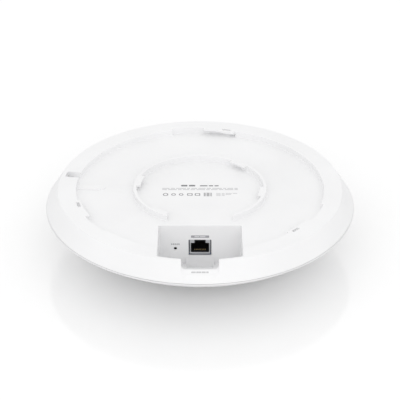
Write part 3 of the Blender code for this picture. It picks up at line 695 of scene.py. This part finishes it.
def make_screw_bosses(shell):
    root = RECESS_Z - 1.0
    boss = [(0.0, BOSS_LOW), (BOSS_R, BOSS_LOW), (BOSS_R, root), (0.0, root)]
    hole = [(0.0, HOLE_LOW), (HOLE_R, HOLE_LOW), (HOLE_R, HOLE_HIGH), (0.0, HOLE_HIGH)]
    for azimuth in (45.0, 135.0, 225.0, 315.0):
        centre = polar(BOSS_PLACE_R, azimuth)
        shell.add(lathe(boss, 32, centre))
        shell.cut(lathe(hole, 20, centre))


def make_back_shell():
    shell = shell_blank()
    make_port(shell)
    make_cable_notch(shell)
    make_jack_wall(shell)
    make_bayonet(shell)
    make_lock_notch(shell)
    make_inner_ring(shell)
    make_screw_bosses(shell)
    finish_mesh(shell.done(), shell_white, replaces=["back_shell"],
                weighted=True, turned=True)


# =============================== front cover ===============================

def dome_z(radius, inset=0.0):
    """Height of the cover's outer surface, or of one inset from it."""
    reach = max(0.0, radius - DOME_FLAT_R)
    return DOME_ARC_R - math.sqrt((DOME_ARC_R - inset) ** 2 - reach ** 2)


def dome_points(start, end, steps, inset=0.0):
    points = []
    for i in range(steps + 1):
        radius = start + (end - start) * i / steps
        points.append((radius, dome_z(radius, inset)))
    return points


def make_front_cover():
    """Fine dome with a rim band, a tongue into the shell and the status ring's groove."""
    groove = []
    for radius, depth in ((LIGHT_R_IN, 0.0), (LIGHT_R_IN + 0.05, LIGHT_GROOVE_DEPTH),
                          (LIGHT_R_OUT - 0.05, LIGHT_GROOVE_DEPTH), (LIGHT_R_OUT, 0.0)):
        groove.append((radius, dome_z(radius) + depth))
    edge = flank_r(COVER_EDGE_Z)
    outer = [(0.0, 0.0), (DOME_FLAT_R * 0.6, 0.0)] + dome_points(DOME_FLAT_R, LIGHT_R_IN - 0.5, 12) + groove
    outer += dome_points(LIGHT_R_OUT + 0.5, RIM_R - 1.0, 44)
    rim = rounded([(RIM_R - 1.0, dome_z(RIM_R - 1.0), 0.0), (RIM_R, RIM_Z, RIM_SOFT),
                   (edge, COVER_EDGE_Z, 0.12), (edge - 2.0, COVER_EDGE_Z, 0.0)])[1:-1]
    tongue_r = edge - WALL * math.sqrt(1.0 + FLANK_SLOPE ** 2) - GAP
    lean = (cover_high.z - COVER_EDGE_Z) * FLANK_SLOPE
    tongue = [(tongue_r, COVER_EDGE_Z), (tongue_r - lean, cover_high.z),
              (tongue_r - 1.3 - lean, cover_high.z), (tongue_r - 1.6, COVER_EDGE_Z - 1.5)]
    inner = dome_points(103.5, DOME_FLAT_R, 30, COVER_WALL) + [(0.0, COVER_WALL)]
    cover = raw_object("front_cover_finish", lathe(outer + rim + tongue + inner))
    finish_mesh(cover, cover_white, replaces=["front_cover"], sharp=40.0)
    cover.data.materials.append(ring_milky)
    low = dome_z(LIGHT_R_IN) * MM
    for face in cover.data.polygons:
        reach = face.center.xy.length / MM
        if LIGHT_R_IN < reach < LIGHT_R_OUT and low < face.center.z < low + 0.0012:
            face.material_index = 1


# =============================== jack and reset ===============================

def make_jack_shield():
    half, front, back = jack_high.x, jack_low.y, jack_high.y
    low, high = jack_low.z, jack_high.z
    outline = rounded([(-half, low, 0.5), (half, low, 0.5), (half, high, 0.5), (-half, high, 0.5)], 4)
    shield = Workpiece("jack_shield_finish", prism_along_y(outline, front, back))
    t = SHIELD_T
    shield.cut(box(-half + t, half - t, front + t, back - t, low + t, high - t), soft=0.2)
    window = rounded([(-SOCKET_X, SOCKET_LOW, 0.7), (SOCKET_X, SOCKET_LOW, 0.7),
                      (SOCKET_X, SOCKET_HIGH, 0.35), (LATCH_X, SOCKET_HIGH, 0.0),
                      (LATCH_X, high + 1.0, 0.0), (-LATCH_X, high + 1.0, 0.0),
                      (-LATCH_X, SOCKET_HIGH, 0.0), (-SOCKET_X, SOCKET_HIGH, 0.35)], 4)
    shield.cut(prism_along_y(window, front - 1.0, front + t + 0.4))
    shield.cut(box(-LATCH_X, LATCH_X, front - 1.0, front + 2.2, high - t - 0.3, high + 1.0))
    for side in (-1.0, 1.0):
        x = side * half
        for z in (low + 3.4, low + 7.6):
            slit = rounded([(front + 3.0, z, 0.3), (back - 4.0, z, 0.3),
                            (back - 4.0, z + 0.7, 0.3), (front + 3.0, z + 0.7, 0.3)], 3)
            shield.cut(prism_along_x(slit, x - 0.7, x + 0.7))
    finish_mesh(shield.done(), jack_metal, replaces=["jack_shield"], weighted=True)


def make_jack_body():
    low, high = body_low, body_high
    body = Workpiece("jack_body_finish", box(low.x, high.x, low.y, high.y, low.z, high.z))
    bevel(body.obj, 0.25)
    body.cut(box(-CAVITY_X, CAVITY_X, low.y - 1.0, CAVITY_BACK, CAVITY_LOW, SOCKET_HIGH - 0.3), soft=0.25)
    body.cut(box(-3.3, 3.3, low.y - 1.0, CAVITY_BACK - 2.0, SOCKET_HIGH - 0.8, high.z - 0.4), soft=0.2)
    finish_mesh(body.done(), jack_black, replaces=["jack_body"], weighted=True)


def wire(name, points, radius):
    """Round wire along a smooth path, with rounded ends."""
    curve = bpy.data.curves.new(name, "CURVE")
    curve.dimensions = "3D"
    curve.bevel_depth = radius
    curve.bevel_resolution = 3
    curve.use_fill_caps = True
    spline = curve.splines.new("POLY")
    spline.points.add(len(points) - 1)
    for point, place in zip(spline.points, points):
        point.co = (*place, 1.0)
    spline.points[0].radius = 0.6
    spline.points[-1].radius = 0.6
    obj = bpy.data.objects.new(name, curve)
    bpy.context.scene.collection.objects.link(obj)
    depsgraph = bpy.context.evaluated_depsgraph_get()
    mesh = bpy.data.meshes.new_from_object(obj.evaluated_get(depsgraph))
    bpy.data.objects.remove(obj, do_unlink=True)
    bpy.data.curves.remove(curve)
    made = bpy.data.objects.new(name, mesh)
    bpy.context.scene.collection.objects.link(made)
    return made


def make_contacts():
    """Eight sprung wires that rise toward the back of the plug cavity."""
    for number in range(1, CONTACTS + 1):
        low, high = (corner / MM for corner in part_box(f"jack_contact_{number}"))
        x = (low.x + high.x) / 2.0
        nose, knee, tail = low.y + 0.2, low.y + 1.5, high.y - 0.1
        base, top = low.z + WIRE_R + 0.02, high.z - WIRE_R
        points = []
        steps = 22
        for i in range(steps + 1):
            y = nose + (tail - nose) * i / steps
            climb = max(0.0, (y - knee) / (tail - knee))
            points.append((x, y, base + (top - base) * climb ** 1.15))
        finish_mesh(wire(f"contact_wire_{number}", points, WIRE_R), contact_gold,
                    replaces=[f"jack_contact_{number}"], sharp=60.0)


def make_button():
    radius = (button_high.x - button_low.x) / 2.0
    x, z = (button_low.x + button_high.x) / 2.0, (button_low.z + button_high.z) / 2.0
    levels = []
    for y, r in ((button_low.y, radius - 0.55), (button_low.y + 0.08, radius - 0.3),
                 (button_low.y + 0.3, radius - 0.08), (button_low.y + 0.55, radius - 0.01),
                 (button_high.y - 0.2, radius - 0.01), (button_high.y, radius - 0.2)):
        levels.append([(a, y, b) for a, b in arc_points(r, 0.0, 360.0, 40, (x, z))[:-1]])
    finish_mesh(raw_object("reset_plunger", loft(*levels)), button_black, body=BUTTON_BODY,
                replaces=["reset_button"], sharp=40.0)


# =============================== printed marks ===============================

def bar_outline(a, b, half_a, half_b, corner):
    return rounded([(a - half_a, b - half_b, corner), (a + half_a, b - half_b, corner),
                    (a + half_a, b + half_b, corner), (a - half_a, b + half_b, corner)], 3)


def join_part(bm, part):
    """Move one small mesh into a larger one."""
    mesh = bpy.data.meshes.new("ink")
    part.to_mesh(mesh)
    part.free()
    bm.from_mesh(mesh)
    bpy.data.meshes.remove(mesh)


def print_block(bm, outline, hole=None):
    """One patch of ink on the recess floor, with an optional matching hole."""
    low, high = RECESS_Z - 0.01, RECESS_Z + 0.02
    if hole is None:
        part = prism(outline, low, high)
    else:
        part = bmesh.new()
        rings = [[part.verts.new((x, y, z)) for x, y in line]
                 for line, z in ((outline, low), (outline, high), (hole, high), (hole, low))]
        for k in range(4):
            first, second = rings[k], rings[(k + 1) % 4]
            for i in range(len(first)):
                j = (i + 1) % len(first)
                part.faces.new((first[i], first[j], second[j], second[i]))
    join_part(bm, part)


def dashes(bm, x0, x1, y, height, lengths, gap):
    """A row of plain dashes, their lengths taken in turn until the row is full."""
    x, turn = x0, 0
    while x < x1 - 0.8:
        length = min(lengths[turn % len(lengths)], x1 - x)
        print_block(bm, bar_outline(x + length / 2.0, y, length / 2.0, height / 2.0, height * 0.3))
        x += length + gap
        turn += 1


def make_rear_print():
    """Greeked marking: dashes, a ring, squares and a dot grid that spell nothing."""
    strong, fine = bmesh.new(), bmesh.new()
    dashes(strong, -13.6, -3.0, 8.4, 2.2, (4.6, 4.6), 1.0)
    dashes(strong, 0.0, 13.6, 8.2, 1.5, (5.4, 3.2, 3.0), 0.9)
    dashes(fine, -27.0, 27.0, 4.5, 0.8, (5.2, 3.1, 7.0, 2.2, 4.3), 0.8)
    dashes(fine, -27.0, 27.0, 2.6, 0.8, (3.4, 6.2, 2.6, 4.8), 0.8)
    for x, size in ((-24.5, 1.9), (-18.8, 1.6), (-13.4, 1.6)):
        hole = size - SYMBOL_LINE
        print_block(strong, bar_outline(x, SYMBOL_Y, size, size, size * 0.9),
                    bar_outline(x, SYMBOL_Y, hole, hole, hole * 0.9))
    for x in (-7.2, -1.8):
        print_block(strong, bar_outline(x, SYMBOL_Y, 1.9, 1.6, 0.4),
                    bar_outline(x, SYMBOL_Y, 1.3, 1.0, 0.2))
    for row in range(3):
        dashes(strong, 2.6, 9.4, -2.6 - 1.8 * row, 1.1, (1.5, 2.2, 1.1), 0.5)
        dashes(fine, 11.5, (26.5, 22.0, 18.0)[row], -2.8 - 1.6 * row, 0.6, (3.2, 2.1, 4.4), 0.7)
    finish_mesh(raw_object("rear_print_bold", strong), print_grey, sharp=20.0)
    finish_mesh(raw_object("rear_print_fine", fine), print_pale, sharp=20.0)


def wall_bar(name, x, z, half_w, half_h, mat, stand=0.03):
    """Flat printed bar on the jack wall."""
    outline = bar_outline(x, z, half_w, half_h, half_h * 0.45)
    bar = raw_object(name, prism_along_y(outline, PORT_Y - stand, PORT_Y + TINY))
    finish_mesh(bar, mat, sharp=20.0)


def make_port_marks():
    wall_bar("jack_label", 0.0, LABEL_Z, 6.3, 0.95, label_grey)
    for number, (x, half) in enumerate(((-2.2, 1.6), (1.8, 1.9)), 1):
        wall_bar(f"jack_label_dash_{number}", x, LABEL_Z, half, 0.36, print_white, stand=0.06)
    for number in range(RESET_MARKS):
        x = RESET_X + RESET_MARK_STEP * (number - RESET_MARKS // 2)
        wall_bar(f"reset_label_dash_{number + 1}", x, RESET_MARK_Z, 0.5, 0.62, print_pale)


def make_lip_mark():
    """Short row of dashes on the sloped lip of the cable notch."""
    slope = (LIP_LOW_Y - LIP_TOP_Y) / (LIP_TOP_Z - LIP_LOW_Z)
    bm = bmesh.new()
    middle = (LIP_TOP_Z + LIP_LOW_Z) / 2.0
    for x, half in ((-4.3, 1.5), (-0.9, 1.6), (2.4, 1.4), (4.9, 0.8)):
        outline = bar_outline(x, middle, half, 0.34, 0.12)
        levels = []
        for stand in (TINY, -0.02):
            levels.append([(a, LIP_TOP_Y + (LIP_TOP_Z - b) * slope + stand, b) for a, b in outline])
        join_part(bm, loft(*levels))
    finish_mesh(raw_object("lip_mark", bm), print_faint, sharp=20.0)


# =============================== inner CAD nodes ===============================

INNER = {
    "light_guide": clear_plastic("light guide", (0.86, 0.89, 0.91), 0.6, 0.2),
    "main_board": circuit_board("main board"),
    "heat_spreader": cast_metal("cast aluminium", (0.70, 0.71, 0.72), 0.42),
    "shield_can": rolled_metal("shield can", (0.68, 0.69, 0.68), 0.28),
    "thermal_pad": moulded_plastic("thermal pad", (0.30, 0.33, 0.38), 0.8, grain=0.00008, spread=0.1),
    "chip": moulded_plastic("chip black", (0.018, 0.018, 0.019), 0.5, grain=0.00004, spread=0.2),
    "ethernet_transformer": moulded_plastic("transformer black", (0.02, 0.02, 0.02), 0.38, spread=0.2),
    "poe_transformer": moulded_plastic("winding tape", (0.40, 0.30, 0.06), 0.35, spread=0.12),
    "power_inductor": moulded_plastic("ferrite", (0.10, 0.10, 0.11), 0.6, grain=0.0001, spread=0.2),
    "bulk_capacitor": rolled_metal("capacitor can", (0.74, 0.75, 0.77), 0.3, direction=(1.0, 1.0, 14.0)),
    "status_led": clear_plastic("diode lens", (0.90, 0.88, 0.70), 0.3, 0.3),
    "antenna": rolled_metal("antenna tin", (0.72, 0.71, 0.66), 0.26, direction=(10.0, 10.0, 1.0)),
    "screw": rolled_metal("screw steel", (0.58, 0.58, 0.57), 0.3, direction=(1.0, 1.0, 10.0)),
    "reset_switch": moulded_plastic("switch black", (0.02, 0.02, 0.022), 0.45, spread=0.2),
}


def dress_inner_nodes():
    for name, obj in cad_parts.items():
        for key, nodes in INNER.items():
            if key in name:
                obj.data.materials.clear()
                obj.data.materials.append(nodes.mat)


# =============================== stage, light, camera ===============================

FLOOR_Z = -0.0001             # just under the object, in metres
FLOOR_SIDES = 48
FLOOR_REACH, FLOOR_GROWTH = 0.25, 1.9
WORLD_STRENGTH = 0.975
CAMERA_PLACE, CAMERA_TILT, CAMERA_LENS = (0.0, -1.0433, 0.6360), 60.117, 151.30


def make_floor():
    bm = bmesh.new()
    centre = bm.verts.new((0.0, 0.0, FLOOR_Z))
    last = None
    for k in range(1, 7):
        outline = arc_points(FLOOR_REACH * FLOOR_GROWTH ** k, 0.0, 360.0, FLOOR_SIDES)[:-1]
        circle = [bm.verts.new((*p, FLOOR_Z)) for p in outline]
        for i in range(len(circle)):
            j = (i + 1) % len(circle)
            bm.faces.new((centre, circle[i], circle[j]) if last is None
                         else (last[i], circle[i], circle[j], last[j]))
        last = circle
    floor = raw_object("floor", bm)
    n = Nodes("floor white")
    n.set("IOR", 1.9)
    n.set("Specular IOR Level", 0.9)
    n.set("Emission Color", (1.0, 1.0, 1.0, 1.0))
    n.set("Emission Strength", 0.03)
    n.link(n.ramp(n.noise(3.0, 2.0), (0.3, (0.96, 0.96, 0.96)), (0.7, (0.98, 0.98, 0.98))),
           n.shader.inputs["Base Color"])
    n.link(n.span(n.noise(8.0, 2.0), 0.10, 0.14), n.shader.inputs["Roughness"])
    floor.data.materials.append(n.mat)


def make_world():
    world = bpy.data.worlds.new("studio")
    bpy.context.scene.world = world
    world.use_nodes = True
    background = world.node_tree.nodes["Background"]
    background.inputs["Color"].default_value = (1.0, 1.0, 1.0, 1.0)
    background.inputs["Strength"].default_value = WORLD_STRENGTH


def softbox(name, place, target, width, height, power):
    data = bpy.data.lights.new(name, "AREA")
    data.shape = "RECTANGLE"
    data.size = width
    data.size_y = height
    data.energy = power
    light = bpy.data.objects.new(name, data)
    bpy.context.scene.collection.objects.link(light)
    light.location = place
    light.rotation_euler = (Vector(target) - Vector(place)).to_track_quat("-Z", "Y").to_euler()


def make_lights():
    softbox("front softbox", (0.0, -1.65, 1.02), (0.0, 0.0, 0.03), 2.2, 0.65, 5.2)


def make_camera():
    data = bpy.data.cameras.new("camera")
    data.sensor_width = 36.0
    data.lens = CAMERA_LENS
    camera = bpy.data.objects.new("camera", data)
    bpy.context.scene.collection.objects.link(camera)
    camera.location = CAMERA_PLACE
    camera.rotation_euler = (math.radians(CAMERA_TILT), 0.0, 0.0)
    bpy.context.scene.camera = camera


make_camera()
make_back_shell()
make_front_cover()
make_jack_shield()
make_jack_body()
make_contacts()
make_button()
make_rear_print()
make_port_marks()
make_lip_mark()
dress_inner_nodes()
make_floor()
make_world()
make_lights()
bpy.context.scene.view_settings.view_transform = "Standard"
